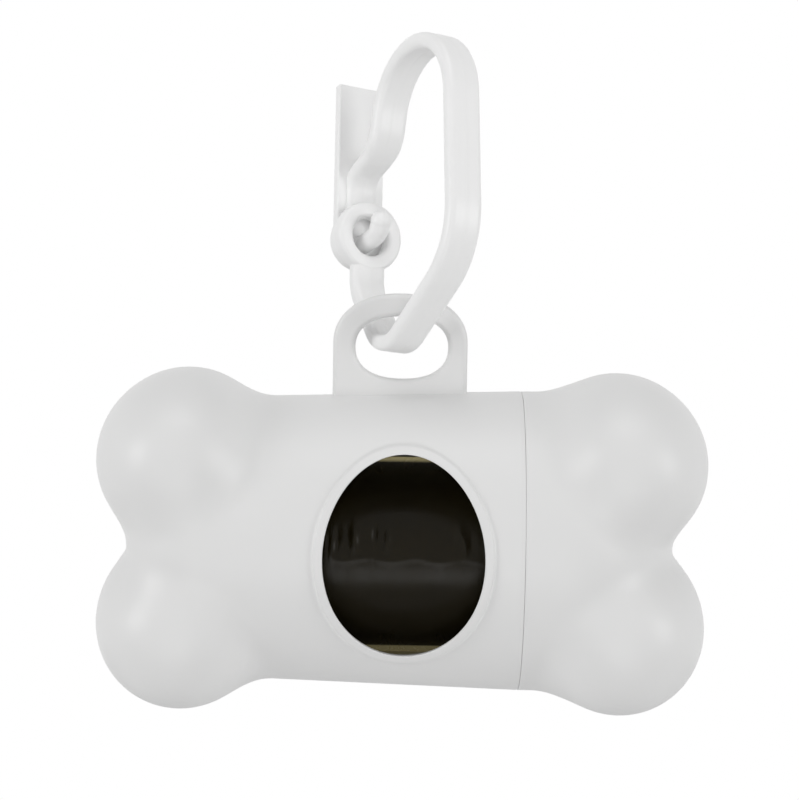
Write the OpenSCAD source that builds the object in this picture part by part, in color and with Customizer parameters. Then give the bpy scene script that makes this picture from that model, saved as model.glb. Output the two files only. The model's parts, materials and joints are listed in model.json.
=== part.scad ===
/* [Barrel] */
// Outer radius of the barrel at the seam between housing and cap
barrel_r = 20.6; // [20:0.1:24]
// Mould draft of the housing barrel, in degrees, thinner towards the closed end
barrel_draft = 1.8; // [0.5:0.1:2.2]
// Distance of the seam from the middle of the bone
seam_x = 15.8; // [13:0.1:17]
// Radius of the chamber that holds the roll
chamber_r = 16.9; // [16:0.1:17.4]
// Narrowing of the chamber at its two closed ends
chamber_taper = 2; // [1:0.1:2.2]

/* [Screw neck] */
// Length of the neck that the cap goes over
neck_length = 8; // [5:0.5:10]
// Wall of the neck
neck_wall = 1.5; // [1:0.1:1.6]
// Radial space for the thread between the neck and the cap
thread_space = 0.6; // [0.4:0.05:0.8]
// Length of the plain collar that centres the cap at the root of the neck
collar_length = 1.5; // [1:0.1:3]
// Radial running clearance of the collar in the cap
collar_gap = 0.15; // [0.1:0.01:0.3]
// Width of the groove seen between housing and cap
seam_gap = 0.15; // [0.05:0.05:0.4]

/* [Bone knobs] */
// Radius of each knob seen from the front
knob_r = 12; // [10:0.1:13]
// Depth of each knob from its middle to its front
knob_depth = 20.2; // [18:0.1:21]
// Distance between the centres of the two knobs of one end
knob_spacing = 22.3; // [20:0.1:26]
// Distance from the web of the housing back to the middle of its knobs
knob_inset_housing = 7; // [5:0.1:9]
// Distance from the web of the cap back to the middle of its knobs
knob_inset_cap = 6.5; // [5:0.1:9]
// Rounding of the end of the housing barrel behind the knobs
web_round_housing = 10; // [6:0.5:12]
// Rounding of the end of the cap behind the knobs
web_round_cap = 15; // [10:0.5:16]
// Fillet where the knobs grow out of the barrel
knob_blend = 3; // [1:0.1:4]
// Fullness of a knob from front to back, where 2 is an ellipsoid
knob_fullness = 2.4; // [2:0.1:3]

/* [Window] */
// Width of the oval window
window_w = 21.2; // [16:0.1:24]
// Height of the oval window
window_h = 26.8; // [20:0.1:30]
// Width of the raised rim round the window
rim_w = 1.25; // [0.8:0.05:2]
// Height of the rim above the barrel
rim_h = 0.5; // [0.3:0.05:1]

/* [Lug] */
// Width of the hanging lug
lug_w = 18.4; // [16:0.1:24]
// Height of the top of the lug above the barrel axis
lug_top = 33.8; // [32:0.1:38]
// Thickness of the lug from front to back
lug_t = 2.4; // [2:0.1:2.8]
// Offset of the lug to the left of the middle
lug_shift = 0.9; // [0:0.1:2]
// Height of the rounded shoulders of the lug
lug_shoulder = 6.8; // [5:0.1:9]
// Width of the hole in the lug
hole_w = 12.7; // [11.5:0.1:13.4]
// Height of the hole in the lug
hole_h = 8.6; // [8:0.1:9.4]
// Height of the bar above the hole
bar_h = 3.1; // [2.6:0.1:3.4]

/* [Clip band] */
// Thickness of the clip band
band_t = 2.2; // [1.8:0.1:2.6]
// Width of the clip band
band_w = 5.1; // [4:0.1:6]
// Rounding of the long edges of the band
band_edge = 0.5; // [0.2:0.05:0.7]
// Radius of the arch at the top of the clip, at the middle of the band
arch_r = 9.8; // [8:0.1:12]
// Length of the straight spine of the clip
spine_length = 18.6; // [15:0.1:24]
// Radius of the foot bend under the bar of the lug
foot_r = 5; // [4.6:0.1:6]
// Angle of the clip about the upright, right side towards the front
clip_yaw = 60; // [45:1:70]
// Angle at which the clip leans back
clip_lean = 16; // [0:1:20]

/* [Clip catch] */
// Outer radius of the ring
ring_r = 5; // [4.5:0.1:6]
// Radius of the hole in the ring
ring_hole_r = 2.8; // [2.7:0.05:3.2]
// Radius of the disc that carries the peg
disc_r = 4.2; // [3.5:0.1:5]
// Gap between ring and disc when the clip is shut
catch_gap = 0.3; // [0.2:0.05:0.5]
// Radius of the peg
peg_r = 1.35; // [1:0.05:1.4]
// Radius of the rounded tip of the peg
peg_tip_r = 1.5; // [1.4:0.05:1.55]
// How far the tip of the peg stands past the ring
peg_reach = 3.9; // [3:0.1:5]
// Width of the thumb tab
tab_w = 7.4; // [6:0.1:8]
// Height of the thumb tab above the middle of the disc
tab_h = 22.7; // [18:0.1:24]
// Thickness of the thumb tab
tab_t = 1.3; // [1:0.1:1.6]
// Width of the flexible arm of the clip
arm_w = 4.6; // [4:0.1:5]
// Clearance of the bending point of the arm
flex_gap = 0.1; // [0.05:0.01:0.2]
// Angle through which the arm opens, in degrees
arm_open = 42; // [30:1:45]

/* [Bag roll] */
// Radius of the tight roll of bags
roll_r = 11.8; // [9:0.1:12.6]
// Length of the roll
roll_length = 60; // [50:0.5:61]
// Outer radius of the core tube
core_r = 6; // [4:0.1:8]
// Wall of the core tube
core_wall = 1; // [0.5:0.1:1.5]
// Air between the tight roll and the loose outer bag
film_air = 0.8; // [0.2:0.05:0.9]
// Space that the loose outer bag takes up
film_t = 1.3; // [1:0.1:2]
// Gap between the loose bag and the floor of the chamber
floor_gap = 0.85; // [0.3:0.05:0.95]
// Room between the roll and the closed end of the housing
housing_room = 2.4; // [1:0.1:4]
// Room between the roll and the closed end of the cap
cap_room = 1.4; // [0.8:0.1:3]
// Wall between the chamber and the web of the housing
housing_wall = 4.7; // [3:0.1:8]
// Wall between the chamber and the web of the cap
cap_wall = 4.4; // [3:0.1:8]

/* [Hidden] */
$fn = 96;

draft_slope = tan(barrel_draft);
housing_depth = roll_length / 2 + housing_room;
cap_depth = roll_length / 2 + cap_room;
web_x_housing = housing_depth + housing_wall;
web_x_cap = cap_depth + cap_wall;
knob_x_housing = web_x_housing - knob_inset_housing;
knob_x_cap = web_x_cap - knob_inset_cap;
neck_r = chamber_r + neck_wall;
socket_r = neck_r + thread_space;
collar_r = socket_r - collar_gap;
film_r = roll_r + film_air + film_t;
roll_z = -(chamber_r - film_r - floor_gap);
bar_z = lug_top - bar_h / 2;
window_reach = barrel_r + 5;

// Where the foot of the clip rests, measured from the middle of the bar
clip_seat = [0, 0, -0.3];

// The bone end surface is sampled round the axis and along rays
around = 72;
cap_rings = 24;
side_rings = 5;
join_x = 15.5;
solve_steps = 20;

// Clip path in its own plane: u to the right, v up, from the bar of the lug
ring_u = -9.8;
ring_v = 11.9;
disc_u = ring_u - band_t - catch_gap;
lower_drop = 5.9;
lower_arc = [6, 35];
lower_run = 6.6;
foot_turn = 87;
knee_arc = [5.5, 61];
arch_turn = 165;
shoulder_run = 1.6;
flex_arc = [5.5, -38];
hip_arc = [5.5, -20];
hip_run = 2.2;
wrist_arc = [3.4, 70];

// Straight runs are a hair thinner than the bends and reach into them
run_inset = 0.02;
run_lap = 0.05;

function heading(a) = [cos(a), sin(a)];

function side(bend) = bend[1] > 0 ? 90 : -90;

function bend_centre(at, bend) = [at[0], at[1]] + bend[0] * heading(at[2] + side(bend));

function advance(at, step) =
    len(step) == 1
    ? concat([at[0], at[1]] + step[0] * heading(at[2]), [at[2]])
    : let (p = bend_centre(at, step) + step[0] * heading(at[2] + step[1] - side(step)))
      [p[0], p[1], at[2] + step[1]];

function place(at, path, count) =
    count == 0 ? at : advance(place(at, path, count - 1), path[count - 1]);

// A path is a list of runs [length] and bends [radius, angle], left turns positive
function lower_path(run) = [[lower_drop], lower_arc, [lower_run], [foot_r, foot_turn], [run], knee_arc];
loop_start = [ring_u, ring_v, 270];
arch_path = [[spine_length], [arch_r, arch_turn], [shoulder_run], flex_arc];
limb_path = [hip_arc, [hip_run], wrist_arc];

// The foot is as long as it takes for the arm to come down over the ring
open_end = place(loop_start, concat(lower_path(0), arch_path, limb_path), 13);
foot_run = (disc_u - open_end[0]) / cos(loop_start[2] + lower_arc[1] + foot_turn);
loop_path = concat(lower_path(foot_run), arch_path);
flex_at = place(loop_start, loop_path, 10);
arch_centre = bend_centre(place(loop_start, loop_path, 7), [arch_r, arch_turn]);
wrist_at = place(flex_at, limb_path, 3);
arm_path = concat(limb_path, [[wrist_at[1] - ring_v - disc_r + band_t / 2]]);

// Directions of the clip plane in the upright frame of the bone
axis_u = [cos(clip_yaw), -sin(clip_yaw) * cos(clip_lean), sin(clip_yaw) * sin(clip_lean)];
axis_v = [0, sin(clip_lean), cos(clip_lean)];
clip_origin = [-lug_shift, 0, bar_z] + clip_seat;
leash_point = clip_origin + arch_centre[0] * axis_u + arch_centre[1] * axis_v;

// Smooth union of two distances, with a fillet of about the given size
function blend(a, b, size) =
    let (h = max(size - abs(a - b), 0) / size) min(a, b) - h * h * size / 4;

// Distance to a bar along x with a rounded end
function rounded_bar(p, r, end_x, rounding) =
    let (q = [p[0] - end_x + rounding, norm([p[1], p[2]]) - r + rounding])
    norm([max(q[0], 0), max(q[1], 0)]) + min(max(q[0], q[1]), 0) - rounding;

// Distance to a knob: round from the front, deep from front to back
function knob(p, x, z) =
    let (
        front = norm([p[0] - x, p[2] - z]) / knob_r,
        depth = abs(p[1]) / knob_depth,
        m = pow(pow(front, knob_fullness) + pow(depth, knob_fullness), 1 / knob_fullness)
    )
    m < 0.01 ? -knob_r : norm([p[0] - x, p[1], p[2] - z]) * (1 - 1 / m);

function bone(p, knob_x, web, r) =
    let (
        upper = knob(p, knob_x, knob_spacing / 2),
        lower = knob(p, knob_x, -knob_spacing / 2)
    )
    blend(blend(upper, lower, knob_blend), rounded_bar(p, r, web[0], web[1]), knob_blend);

// Reach of the surface from a point along a direction, found by halving
function reach(o, d, near, far, steps, knob_x, web, r) =
    steps == 0
    ? (near + far) / 2
    : let (mid = (near + far) / 2)
      bone(o + mid * d, knob_x, web, r) < 0
      ? reach(o, d, mid, far, steps - 1, knob_x, web, r)
      : reach(o, d, near, mid, steps - 1, knob_x, web, r);

function hit(o, d, knob_x, web, r) =
    o + d * reach(o, d, 5, 45, solve_steps, knob_x, web, r);

// One bone end, knobs towards +x, closed by a flat face at from_x; web gives its place and rounding
module bone_end(knob_x, web, from_x, r_from, slope) {
    centre_x = knob_x - knob_r + 4;
    pole = hit([centre_x, 0, 0], [1, 0, 0], knob_x, web, r_from - slope * (knob_x - from_x));
    crown = [for (i = [1:cap_rings], j = [0:around - 1])
        let (t = 90 * i / cap_rings, a = 360 * j / around)
        hit([centre_x, 0, 0], [cos(t), sin(t) * cos(a), sin(t) * sin(a)],
            knob_x, web, r_from - slope * (centre_x - from_x))];
    skirt = [for (i = [1:side_rings], j = [0:around - 1])
        let (x = centre_x + (from_x - centre_x) * i / side_rings, a = 360 * j / around)
        hit([x, 0, 0], [0, cos(a), sin(a)], knob_x, web, r_from - slope * (x - from_x))];
    rings = cap_rings + side_rings;
    fan = [for (j = [0:around - 1]) [0, 1 + (j + 1) % around, 1 + j]];
    bands = [for (i = [0:rings - 2], j = [0:around - 1], k = [0, 1])
        let (a = 1 + i * around + j, b = 1 + i * around + (j + 1) % around)
        k == 0 ? [a, b, a + around] : [b, b + around, a + around]];
    back = [[for (j = [0:around - 1]) 1 + (rings - 1) * around + j]];
    polyhedron(points = concat([pole], crown, skirt), faces = concat(fan, bands, back), convexity = 6);
}

// An oval outline, an ellipse at fullness 2 and squarer above it
function oval_axis(c, size, fullness) = size / 2 * sign(c) * pow(abs(c), 2 / fullness);

module oval(w, h, fullness = 2) {
    polygon([for (i = [0:95]) let (a = i * 360 / 96)
        [oval_axis(cos(a), w, fullness), oval_axis(sin(a), h, fullness)]]);
}

// A prism of the window through the front wall
module window_prism(grow) {
    translate([0, -chamber_r / 2, 0])
        rotate([90, 0, 0])
            linear_extrude(window_reach - chamber_r / 2)
                oval(window_w + 2 * grow, window_h + 2 * grow);
}

// The straight tapered length of the barrel
module tapered_barrel(grow) {
    length = join_x + seam_x;
    translate([-join_x, 0, 0])
        rotate([0, 90, 0])
            cylinder(h = length, r1 = barrel_r - draft_slope * length + grow, r2 = barrel_r + grow);
}

module window_rim() {
    intersection() {
        window_prism(rim_w);
        tapered_barrel(rim_h);
    }
}

// Bar from one place on the axis to another
module along_axis(x1, x2, r) {
    translate([x1, 0, 0]) rotate([0, 90, 0]) cylinder(h = x2 - x1, r = r);
}

// Shoulders of the lug as a fuller oval, over straight sides
module lug_outline() {
    rise = lug_top - lug_shoulder;
    polygon(concat(
        [[-lug_w / 2, chamber_r + 1], [lug_w / 2, chamber_r + 1]],
        [for (i = [0:48]) let (a = 180 * i / 48, c = cos(a), s = sin(a))
            [lug_w / 2 * sign(c) * pow(abs(c), 0.92), rise + lug_shoulder * pow(s, 0.92)]]
    ));
}

module lug() {
    translate([-lug_shift, lug_t / 2, 0])
        rotate([90, 0, 0])
            linear_extrude(lug_t)
                difference() {
                    lug_outline();
                    translate([0.2, bar_z - bar_h / 2 - hole_h / 2]) oval(hole_w, hole_h, 2.3);
                }
}

// Section of the clip band: a rectangle with rounded corners
module band_section(t, w) {
    square([t - 2 * band_edge, w], center = true);
    square([t, w - 2 * band_edge], center = true);
    for (x = [-1, 1], y = [-1, 1])
        translate([x * (t / 2 - band_edge), y * (w / 2 - band_edge)]) circle(band_edge, $fn = 24);
}

module band_step(at, step, w) {
    if (len(step) == 1)
        translate([at[0], at[1], 0])
            rotate([0, 0, at[2]])
                translate([-run_lap, 0, 0])
                    rotate([90, 0, 90])
                        linear_extrude(step[0] + 2 * run_lap)
                            band_section(band_t - 2 * run_inset, w - 2 * run_inset);
    else
        translate(concat(bend_centre(at, step), [0]))
            rotate([0, 0, at[2] - side(step) + min(step[1], 0)])
                rotate_extrude(angle = abs(step[1])) translate([step[0], 0]) band_section(band_t, w);
}

module band(start, path, w) {
    for (i = [0:len(path) - 1]) band_step(place(start, path, i), path[i], w);
}

// Round plate standing across the clip plane
module plate_disc(u, v, r, t) {
    translate([u - t / 2, v, 0]) rotate([0, 90, 0]) cylinder(h = t, r = r);
}

// Moves the clip plane upright on the lug
module on_lug() {
    translate(clip_origin) rotate([-clip_lean, 0, 0]) rotate([90, 0, -clip_yaw]) children();
}

// Puts the origin where the leash pulls
module hung() {
    translate(-leash_point) children();
}

// The chamber from its closed, narrowed end to the open one
module chamber(closed_x, open_x) {
    side = sign(open_x - closed_x);
    neck_x = closed_x + side * 1.5 * chamber_taper;
    along_axis(min(neck_x, open_x), max(neck_x, open_x), chamber_r);
    translate([closed_x, 0, 0])
        rotate([0, side * 90, 0])
            cylinder(h = 1.5 * chamber_taper + 0.01, r1 = chamber_r - chamber_taper, r2 = chamber_r);
}

module housing() {
    length = join_x + seam_x;
    color([0.95, 0.95, 0.94]) hung()
        difference() {
            union() {
                mirror([1, 0, 0])
                    bone_end(knob_x_housing, [web_x_housing, web_round_housing], join_x,
                        barrel_r - draft_slope * length - 0.03, draft_slope);
                tapered_barrel(0);
                window_rim();
                lug();
                along_axis(seam_x - 1, seam_x + neck_length, neck_r);
                along_axis(seam_x - 1, seam_x + collar_length, collar_r);
            }
            chamber(-housing_depth, seam_x + neck_length + 1);
            window_prism(0);
        }
}

module end_cap() {
    mouth = seam_x + seam_gap;
    color([0.93, 0.93, 0.92]) hung()
        difference() {
            bone_end(knob_x_cap, [web_x_cap, web_round_cap], mouth, barrel_r, 0);
            along_axis(mouth - 1, mouth + neck_length, socket_r);
            chamber(cap_depth, mouth);
        }
}

module clip_loop() {
    color([0.96, 0.96, 0.95]) hung() on_lug()
        difference() {
            union() {
                band(loop_start, loop_path, band_w);
                plate_disc(ring_u, ring_v, ring_r, band_t);
            }
            plate_disc(ring_u, ring_v, ring_hole_r, band_t + 2);
            translate([flex_at[0], flex_at[1], -band_w])
                cylinder(h = 2 * band_w, r = band_t / 2 + flex_gap);
            translate([flex_at[0], flex_at[1], -band_w])
                rotate([0, 0, flex_at[2] - arm_open])
                    translate([0, -band_t / 2 - flex_gap, 0]) cube([2 * band_t, band_t + 2 * flex_gap, 2 * band_w]);
        }
}

module peg() {
    root = [disc_u, ring_v - 0.9, 0];
    tip = [ring_u + band_t / 2 + peg_reach, ring_v + 0.4, 0];
    lie = tip - root;
    translate(root)
        rotate([0, 0, atan2(lie[1], lie[0])])
            rotate([0, 90, 0]) cylinder(h = norm(lie), r = peg_r);
    translate(tip) sphere(peg_tip_r);
}

module clip_arm() {
    tab_u = disc_u - band_t / 2;
    color([0.9, 0.9, 0.89]) hung() on_lug()
        union() {
            translate([flex_at[0], flex_at[1], -arm_w / 2]) cylinder(h = arm_w, r = band_t / 2);
            band(flex_at, arm_path, arm_w);
            plate_disc(disc_u, ring_v, disc_r, band_t);
            translate([tab_u, ring_v, -tab_w / 2]) cube([tab_t, tab_h, tab_w]);
            peg();
        }
}

// Tube round the axis of the roll
module roll_tube(r_out, r_in, length) {
    translate([-length / 2, 0, roll_z])
        rotate([0, 90, 0])
            difference() {
                cylinder(h = length, r = r_out);
                translate([0, 0, -1]) cylinder(h = length + 2, r = r_in);
            }
}

module roll_core() {
    color([0.72, 0.6, 0.45]) hung() roll_tube(core_r, core_r - core_wall, roll_length);
}

module bag_roll() {
    color([0.12, 0.11, 0.09]) hung() roll_tube(roll_r, core_r + 0.05, roll_length - 4);
}

module loose_bag() {
    color([0.35, 0.34, 0.22]) hung() roll_tube(film_r, roll_r + film_air, roll_length - 5);
}

housing();
end_cap();
clip_loop();
clip_arm();
roll_core();
bag_roll();
loose_bag();
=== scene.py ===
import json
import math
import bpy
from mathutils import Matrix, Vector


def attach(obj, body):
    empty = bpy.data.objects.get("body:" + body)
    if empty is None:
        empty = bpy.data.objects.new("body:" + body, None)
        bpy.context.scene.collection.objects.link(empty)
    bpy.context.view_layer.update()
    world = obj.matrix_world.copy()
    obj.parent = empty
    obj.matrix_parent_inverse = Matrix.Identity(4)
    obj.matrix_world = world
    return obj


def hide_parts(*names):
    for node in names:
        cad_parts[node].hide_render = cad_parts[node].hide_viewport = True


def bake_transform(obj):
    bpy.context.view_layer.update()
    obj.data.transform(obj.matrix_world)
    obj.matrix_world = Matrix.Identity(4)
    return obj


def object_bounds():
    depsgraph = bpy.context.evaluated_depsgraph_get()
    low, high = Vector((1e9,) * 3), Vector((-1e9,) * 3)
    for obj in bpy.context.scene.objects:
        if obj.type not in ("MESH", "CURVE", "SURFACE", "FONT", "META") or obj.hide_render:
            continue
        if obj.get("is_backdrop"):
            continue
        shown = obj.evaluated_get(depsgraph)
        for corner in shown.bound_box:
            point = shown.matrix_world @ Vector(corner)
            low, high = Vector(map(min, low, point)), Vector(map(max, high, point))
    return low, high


bl_info = {
    "name": "Bone Bag Dispenser",
    "version": (1, 0, 0),
    "blender": (4, 5, 0),
    "location": "View3D > Sidebar > Dispenser",
    "description": "Dresses the bone-shaped bag dispenser: case, cap, clip and roll of bags",
    "category": "Object",
}

import bmesh
import bpy
import numpy as np
from bpy.props import FloatProperty, FloatVectorProperty, PointerProperty
from mathutils import Euler, Vector

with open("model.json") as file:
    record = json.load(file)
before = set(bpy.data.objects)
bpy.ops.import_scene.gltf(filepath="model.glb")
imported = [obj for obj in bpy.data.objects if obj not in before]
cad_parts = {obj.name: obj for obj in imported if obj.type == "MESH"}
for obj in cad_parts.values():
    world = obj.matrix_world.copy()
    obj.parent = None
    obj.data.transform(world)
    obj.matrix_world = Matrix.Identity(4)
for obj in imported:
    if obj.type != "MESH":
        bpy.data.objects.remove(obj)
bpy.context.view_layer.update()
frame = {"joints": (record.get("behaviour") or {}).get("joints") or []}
JOINTS = {j["name"]: j for j in frame["joints"]}

# The middle of the bone in the row frame, in millimetres, found from the bar of the lug
BAR_Z = 32.25
BONE = 1000 * np.array(JOINTS["clip_swing"]["pos_m"]) - np.array([0, 0, BAR_Z])
AROUND = 192  # points round the bone
PATCH_REACH = 54.375  # degrees from the front to each side of the window's patch


def mm(value):
    """A length property's value in millimetres."""
    return 1000 * value


class CaseSizes(bpy.types.PropertyGroup):
    """Sizes of the two shells of the bone"""

    barrel_radius: FloatProperty(
        name="Barrel radius", description="Outer radius at the seam", default=0.0206, unit="LENGTH",
    )
    draft: FloatProperty(
        name="Draft", description="Taper of the housing barrel", default=math.radians(1.8), subtype="ANGLE",
    )
    chamber_radius: FloatProperty(
        name="Chamber radius", description="Radius of the roll chamber", default=0.0169, unit="LENGTH",
    )
    knob_radius: FloatProperty(
        name="Knob radius",
        description="Radius of a knob seen from the front",
        default=0.012,
        unit="LENGTH",
    )
    knob_depth: FloatProperty(
        name="Knob depth", description="Middle of a knob to its front", default=0.0202, unit="LENGTH",
    )
    knob_spacing: FloatProperty(
        name="Knob spacing", description="Between the two knobs of an end", default=0.0223, unit="LENGTH",
    )
    knob_fillet: FloatProperty(
        name="Knob fillet",
        description="Fillet where the knobs grow out of the barrel",
        default=0.003,
        unit="LENGTH",
    )
    window_width: FloatProperty(
        name="Window width", description="Width of the oval window", default=0.0212, unit="LENGTH",
    )
    window_height: FloatProperty(
        name="Window height", description="Height of the oval window", default=0.0268, unit="LENGTH",
    )
    rim_width: FloatProperty(
        name="Rim width", description="Width of the raised rim", default=0.00125, unit="LENGTH",
    )
    rim_height: FloatProperty(
        name="Rim height", description="Height of the raised rim", default=0.0005, unit="LENGTH",
    )


class ClipSizes(bpy.types.PropertyGroup):
    """Sizes of the leash clip"""

    band_thickness: FloatProperty(
        name="Band thickness",
        description="Thickness in the plane of the clip",
        default=0.0022,
        unit="LENGTH",
    )
    band_width: FloatProperty(
        name="Band width", description="Width across the plane of the clip", default=0.0051, unit="LENGTH",
    )
    arm_width: FloatProperty(
        name="Arm width", description="Width of the sprung arm", default=0.0046, unit="LENGTH",
    )
    edge_radius: FloatProperty(
        name="Edge rounding", description="Rounding of the long edges", default=0.0009, unit="LENGTH",
    )


class RollSizes(bpy.types.PropertyGroup):
    """Sizes of the roll of bags"""

    roll_radius: FloatProperty(
        name="Roll radius", description="Radius of the tight roll", default=0.0123, unit="LENGTH",
    )
    film_radius: FloatProperty(
        name="Loose bag radius", description="Reach of the loose outer bag", default=0.0134, unit="LENGTH",
    )
    wrinkle: FloatProperty(
        name="Wrinkle height",
        description="Height of the puckers in the loose bag",
        default=0.00016,
        unit="LENGTH",
    )


class DispenserColours(bpy.types.PropertyGroup):
    """Colours of the finishes"""

    shell: FloatVectorProperty(
        name="Shell",
        description="White moulded plastic of the bone",
        default=(0.8, 0.8, 0.797),
        subtype="COLOR",
        size=3,
    )
    clip: FloatVectorProperty(
        name="Clip",
        description="White flexible plastic of the clip",
        default=(0.93, 0.93, 0.928),
        subtype="COLOR",
        size=3,
    )
    bags: FloatVectorProperty(
        name="Bags",
        description="Tightly wound dark film",
        default=(0.012, 0.009, 0.003),
        subtype="COLOR",
        size=3,
    )
    # Painted light: the colour the loose film shows where light comes through it above and below the roll,
    # and the colour it glows; the film's own colour is Bags
    film: FloatVectorProperty(
        name="Loose film",
        description="Single layer of olive film",
        default=(0.32, 0.28, 0.15),
        subtype="COLOR",
        size=3,
    )
    board: FloatVectorProperty(
        name="Core",
        description="Board of the core tube",
        default=(0.40, 0.30, 0.19),
        subtype="COLOR",
        size=3,
    )
    floor: FloatVectorProperty(
        name="Floor", description="Pale studio floor", default=(0.93, 0.93, 0.93), subtype="COLOR", size=3,
    )


# Grids and meshes


def place(points):
    """Points measured from the middle of the bone in millimetres, as row-frame metres."""
    return (np.asarray(points, float) + BONE) / 1000.0


class Skin:
    """Collects grids of points that end up in one mesh."""

    def __init__(self):
        self.points = []
        self.faces = []
        self.count = 0

    def add(self, points):
        first = self.count
        flat = np.asarray(points, float).reshape(-1, 3)
        self.points.append(flat)
        self.count += len(flat)
        return first

    def grid(self, points, wrap=True, flip=False, skip=None):
        """Quads over rows and columns of points.

        With rows along an axis and columns round it the faces look away from
        the axis, and flip turns them in. skip leaves out a block of quads.
        """
        rows, cols = points.shape[:2]
        first = self.add(points)
        i = np.arange(rows - 1)[:, None]
        j = np.arange(cols if wrap else cols - 1)[None, :]
        a = first + i * cols + j
        b = first + i * cols + (j + 1) % cols
        quads = np.stack([a, a + cols, b + cols, b], -1)
        keep = np.ones(quads.shape[:2], bool)
        if skip is not None:
            keep[skip[0] : skip[1], skip[2] : skip[3]] = False
        quads = quads[keep]
        self.faces += (quads[:, ::-1] if flip else quads).tolist()

    def fan(self, ring, centre, flip=False):
        """Triangles from a closing point to a ring.

        They look along the ring's axis, away from the rows that follow.
        """
        n = len(ring)
        first = self.add(np.vstack([ring, [centre]]))
        j = np.arange(n)
        tris = np.stack([np.full(n, first + n), first + j, first + (j + 1) % n], -1)
        self.faces += (tris[:, ::-1] if flip else tris).tolist()

    def object(self, name, material, recalc=False):
        """The collected grids as one object at the origin, doubles merged and shaded smooth."""
        mesh = bpy.data.meshes.new(name)
        mesh.from_pydata(place(np.vstack(self.points)).tolist(), [], self.faces)
        bm = bmesh.new()
        bm.from_mesh(mesh)
        bmesh.ops.remove_doubles(bm, verts=bm.verts, dist=2e-6)
        if recalc:
            bmesh.ops.recalc_face_normals(bm, faces=bm.faces)
        bm.to_mesh(mesh)
        bm.free()
        mesh.shade_smooth()
        mesh.set_sharp_from_angle(angle=math.radians(45))
        mesh.materials.append(material)
        made = bpy.data.objects.new(name, mesh)
        bpy.context.scene.collection.objects.link(made)
        return made


def round_turn(x, r, phi):
    """Points of a surface of revolution about the bone's axis; phi starts at the front and rises."""
    x, r, phi = np.broadcast_arrays(x, r, phi)
    return np.stack([x, -r * np.cos(phi), r * np.sin(phi)], -1)


def angles():
    """Angles round the bone, the first one at the lower side of the window's patch."""
    return np.radians(-PATCH_REACH + 360 / AROUND * np.arange(AROUND))


def profile_turn(profile, phi):
    """Revolves a list of (x, radius) pairs, one row for each."""
    p = np.asarray(profile, float)
    return round_turn(p[:, :1], p[:, 1:], phi[None, :])


# The bone

INSET = 0.05  # the smooth shells stay this far inside the faceted ones
LIP = 0.06  # rounding of both shells' edges at the seam
SEAM_X, JOIN_X = 15.8, -15.5
KNOB_FULLNESS = 2.4
HOUSING_KNOB_X, HOUSING_WEB = 30.1, (37.1, 10)  # a web is its end and its rounding
CAP_KNOB_X, CAP_WEB = 29.3, (35.8, 15)
SKIRT_ROWS, CROWN_ROWS = 14, 76
NECK_R, SOCKET_R, THREAD_PITCH = 18.4, 19.0, 2.4
HOUSING_DEPTH, CAP_DEPTH = -32.4, 31.4  # the two flat ends of the chamber


def soft_union(a, b, size):
    """The smaller of two distances, less a quarter of size where they are equal, which is a fillet."""
    h = np.maximum(size - np.abs(a - b), 0) / size
    return np.minimum(a, b) - h * h * size / 4


def bone_field(p, knob_x, web, r, s):
    """Signed distance, near enough, from p to the bone end.

    Two knobs that are round from the front and full from front to back are
    softly joined to a bar with a rounded end.
    """
    x, y, z = p[..., 0], p[..., 1], p[..., 2]
    end, rounding = web
    q0 = x - end + rounding
    q1 = np.hypot(y, z) - r + rounding
    bar = np.hypot(np.maximum(q0, 0), np.maximum(q1, 0)) + np.minimum(np.maximum(q0, q1), 0) - rounding
    knobs = []
    for side in (1, -1):
        dz = z - side * mm(s.knob_spacing) / 2
        front = np.hypot(x - knob_x, dz) / mm(s.knob_radius)
        depth = np.abs(y) / mm(s.knob_depth)
        m = np.maximum((front**KNOB_FULLNESS + depth**KNOB_FULLNESS) ** (1 / KNOB_FULLNESS), 0.01)
        knobs.append(np.sqrt((x - knob_x) ** 2 + y**2 + dz**2) * (1 - 1 / m))
    fillet = mm(s.knob_fillet)
    return soft_union(soft_union(knobs[0], knobs[1], fillet), bar, fillet)


def bone_end_rows(knob_x, web, from_x, r_from, slope, s):
    """Rows of points from the join to the end of the bone.

    Each lies where a ray from the axis leaves the field, found by halving. The
    skirt's rays are square to the axis and the crown's fan out over the end.
    """
    phi = angles()
    centre = knob_x - mm(s.knob_radius) + 4
    skirt = np.linspace(from_x, centre, SKIRT_ROWS + 1)[:-1]
    crown = np.radians(90 * (1 - np.arange(CROWN_ROWS) / CROWN_ROWS))
    start = np.concatenate([skirt, np.full(CROWN_ROWS, centre)])[:, None]
    tilt = np.concatenate([np.full(SKIRT_ROWS, math.pi / 2), crown])[:, None]
    r = r_from - slope * (start - from_x)
    d = np.stack(
        np.broadcast_arrays(np.cos(tilt), -np.sin(tilt) * np.cos(phi), np.sin(tilt) * np.sin(phi)), -1
    )
    o = np.zeros_like(d)
    o[..., 0] = start
    near = np.full(d.shape[:2], 5.0)
    far = np.full(d.shape[:2], 45.0)
    for _ in range(30):
        mid = (near + far) / 2
        inside = bone_field(o + mid[..., None] * d, knob_x, web, r, s) < -INSET
        near = np.where(inside, mid, near)
        far = np.where(inside, far, mid)
    return o + near[..., None] * d


def thread(x, phi, start, end, height):
    """Height of a rounded screw ridge: a raised cosine of the phase, squared, that fades out at both ends."""
    phase = (x - THREAD_PITCH * phi / (2 * math.pi)) / THREAD_PITCH
    fade = np.clip((x - start) / 0.8, 0, 1) * np.clip((end - x) / 0.8, 0, 1)
    return height * (0.5 + 0.5 * np.cos(2 * math.pi * phase)) ** 2 * fade


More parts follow.
